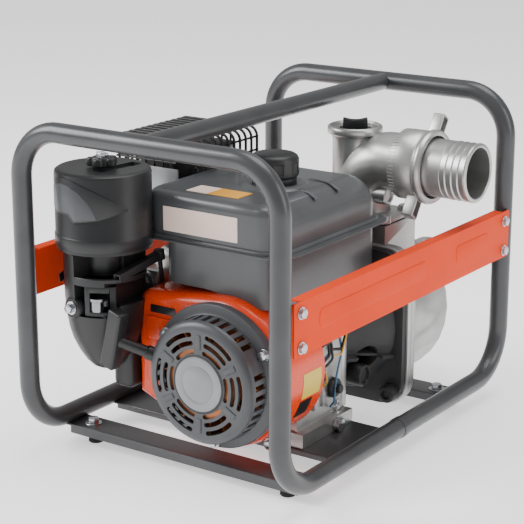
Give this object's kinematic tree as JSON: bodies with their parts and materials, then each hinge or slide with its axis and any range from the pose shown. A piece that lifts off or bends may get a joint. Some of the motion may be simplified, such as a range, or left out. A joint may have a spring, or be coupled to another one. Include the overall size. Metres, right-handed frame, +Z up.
{
  "type": "engine-driven centrifugal water pump",
  "caption": "Frame-mounted water pump: a small four-stroke engine close-coupled to a self-priming centrifugal pump with suction and outlet hose spigots.",
  "frame": {"origin": "on the ground, under the middle of the overall box", "axes": "+Z up, +Y from the recoil starter to the pump and suction spigot, +X towards the outlet spigot"},
  "size_m": [0.4276, 0.619, 0.4347],
  "materials": {
    "frame_paint": "satin dark grey powder coat",
    "orange_paint": "gloss orange paint",
    "cast_aluminium": "as-cast, shot blasted",
    "zinc_steel": "zinc plated",
    "tank_paint": "satin dark grey paint",
    "black_plastic": "moulded, fine texture",
    "grey_plastic": "moulded, satin",
    "rubber": "moulded rubber",
    "copper_paint": "copper-brown paint",
    "dark_cast": "painted casting",
    "filter_paper": "pleated filter paper"
  },
  "bodies": {
    "pump_unit": {"front_hoop": "frame_paint", "rear_hoop": "frame_paint", "top_bar": "frame_paint", "front_cross_channel": "frame_paint", "rear_cross_channel": "frame_paint", "engine_bed": "frame_paint", "left_side_plate": "orange_paint", "right_side_plate": "orange_paint", "fan_shroud": "orange_paint", "cylinder": "cast_aluminium", "cylinder_head": "cast_aluminium", "rocker_cover": "cast_aluminium", "crankcase": "cast_aluminium", "crankcase_cover": "cast_aluminium", "pump_back_plate": "cast_aluminium", "pump_casing": "cast_aluminium", "outlet_elbow": "cast_aluminium", "outlet_spigot": "cast_aluminium", "suction_spigot": "cast_aluminium", "carburettor": "cast_aluminium", "left_plate_bolt_front_lower": "zinc_steel", "left_plate_bolt_front_upper": "zinc_steel", "left_plate_bolt_rear_lower": "zinc_steel", "left_plate_bolt_rear_upper": "zinc_steel", "spark_plug": "zinc_steel", "muffler": "zinc_steel", "fuel_tank_upper": "tank_paint", "fuel_tank_lower": "tank_paint", "switch_box": "black_plastic", "air_cleaner_body": "black_plastic", "air_cleaner_canister": "black_plastic", "muffler_guard": "black_plastic", "recoil_cover": "grey_plastic", "foot_front_left": "rubber", "foot_front_right": "rubber", "foot_rear_left": "rubber", "foot_rear_right": "rubber", "shaft_seal": "rubber", "outlet_gasket": "rubber", "pump_bracket": "dark_cast", "filter_element": "filter_paper"},
    "crank_train": {"crankshaft": "zinc_steel", "flywheel_fan": "copper_paint", "impeller": "cast_aluminium"},
    "piston": {"piston": "cast_aluminium"},
    "recoil_handle": {"recoil_handle": "black_plastic"},
    "recoil_reel": {"recoil_reel": "black_plastic"},
    "fuel_cap": {"fuel_cap": "black_plastic"},
    "air_cleaner_knob": {"air_cleaner_knob": "black_plastic"},
    "choke_lever": {"choke_lever": "grey_plastic"},
    "fuel_valve_lever": {"fuel_valve_lever": "black_plastic"},
    "throttle_lever": {"throttle_lever": "zinc_steel"},
    "ignition_switch": {"ignition_switch": "black_plastic"},
    "oil_filler_cap": {"oil_filler_cap": "black_plastic"},
    "oil_drain_bolt": {"oil_drain_bolt": "zinc_steel"},
    "filler_plug": {"filler_plug": "black_plastic"},
    "pump_drain_plug": {"pump_drain_plug": "cast_aluminium"},
    "outlet_nut": {"outlet_nut": "cast_aluminium"},
    "suction_nut": {"suction_nut": "cast_aluminium"},
    "check_valve_flap": {"check_valve_flap": "rubber"}
  },
  "joints": [
    {"name": "crank_spin", "type": "hinge", "parent": "pump_unit", "child": "crank_train", "pos_m": [0.0405, -0.0248, 0.1295], "axis": [0, 1, 0], "continuous": true},
    {"name": "piston_stroke", "type": "slide", "parent": "pump_unit", "child": "piston", "axis": [-0.9063, 0, 0.4226], "range_m": [-0.027, 0.027]},
    {"name": "recoil_pull", "type": "slide", "parent": "pump_unit", "child": "recoil_handle", "axis": [-0.7598, -0.5277, 0.3799], "range_m": [0, 0.45]},
    {"name": "recoil_reel_spin", "type": "hinge", "parent": "pump_unit", "child": "recoil_reel", "pos_m": [0.0405, -0.2428, 0.1295], "axis": [0, 1, 0], "range_deg": [0, 737.2]},
    {"name": "fuel_cap_twist", "type": "hinge", "parent": "pump_unit", "child": "fuel_cap", "pos_m": [0.0295, -0.0798, 0.34], "axis": [0, 0, 1], "range_deg": [0, 90]},
    {"name": "air_cleaner_knob_twist", "type": "hinge", "parent": "pump_unit", "child": "air_cleaner_knob", "pos_m": [-0.1225, -0.2298, 0.372], "axis": [0, 0, 1], "range_deg": [0, 720]},
    {"name": "choke_lever_turn", "type": "hinge", "parent": "pump_unit", "child": "choke_lever", "pos_m": [-0.1085, -0.2648, 0.21], "axis": [0, 1, 0], "range_deg": [0, 35]},
    {"name": "fuel_valve_turn", "type": "hinge", "parent": "pump_unit", "child": "fuel_valve_lever", "pos_m": [-0.1085, -0.2648, 0.19], "axis": [0, 1, 0], "range_deg": [0, 50]},
    {"name": "throttle_swing", "type": "hinge", "parent": "pump_unit", "child": "throttle_lever", "pos_m": [-0.0785, -0.1768, 0.254], "axis": [0, -0.1392, 0.9903], "range_deg": [-6, 25]},
    {"name": "ignition_switch_turn", "type": "hinge", "parent": "pump_unit", "child": "ignition_switch", "pos_m": [0.1098, -0.1088, 0.1915], "axis": [1, 0, 0], "range_deg": [0, 90]},
    {"name": "oil_filler_cap_twist", "type": "hinge", "parent": "pump_unit", "child": "oil_filler_cap", "pos_m": [0.1005, -0.0528, 0.0775], "axis": [1, 0, 0], "range_deg": [0, 720]},
    {"name": "oil_drain_bolt_twist", "type": "hinge", "parent": "pump_unit", "child": "oil_drain_bolt", "pos_m": [0.1005, -0.0628, 0.0333], "axis": [1, 0, 0], "range_deg": [0, 720]},
    {"name": "filler_plug_twist", "type": "hinge", "parent": "pump_unit", "child": "filler_plug", "pos_m": [0.0275, 0.1152, 0.38], "axis": [0, 0, 1], "range_deg": [0, 720]},
    {"name": "pump_drain_plug_twist", "type": "hinge", "parent": "pump_unit", "child": "pump_drain_plug", "pos_m": [0.0405, 0.1802, 0.0705], "axis": [0, 1, 0], "range_deg": [0, 720]},
    {"name": "outlet_nut_turn", "type": "hinge", "parent": "pump_unit", "child": "outlet_nut", "pos_m": [0.1155, 0.1152, 0.341], "axis": [1, 0, 0], "range_deg": [0, 270]},
    {"name": "suction_nut_turn", "type": "hinge", "parent": "pump_unit", "child": "suction_nut", "pos_m": [0.0405, 0.2052, 0.1495], "axis": [0, 1, 0], "range_deg": [0, 270]},
    {"name": "check_valve_swing", "type": "hinge", "parent": "pump_unit", "child": "check_valve_flap", "pos_m": [0.0405, 0.1782, 0.1885], "axis": [1, 0, 0], "range_deg": [-35, 0]}
  ],
  "couplings": [
    {"joint": "recoil_reel_spin", "follows": "recoil_pull", "rad_per_m": 28.571}
  ]
}
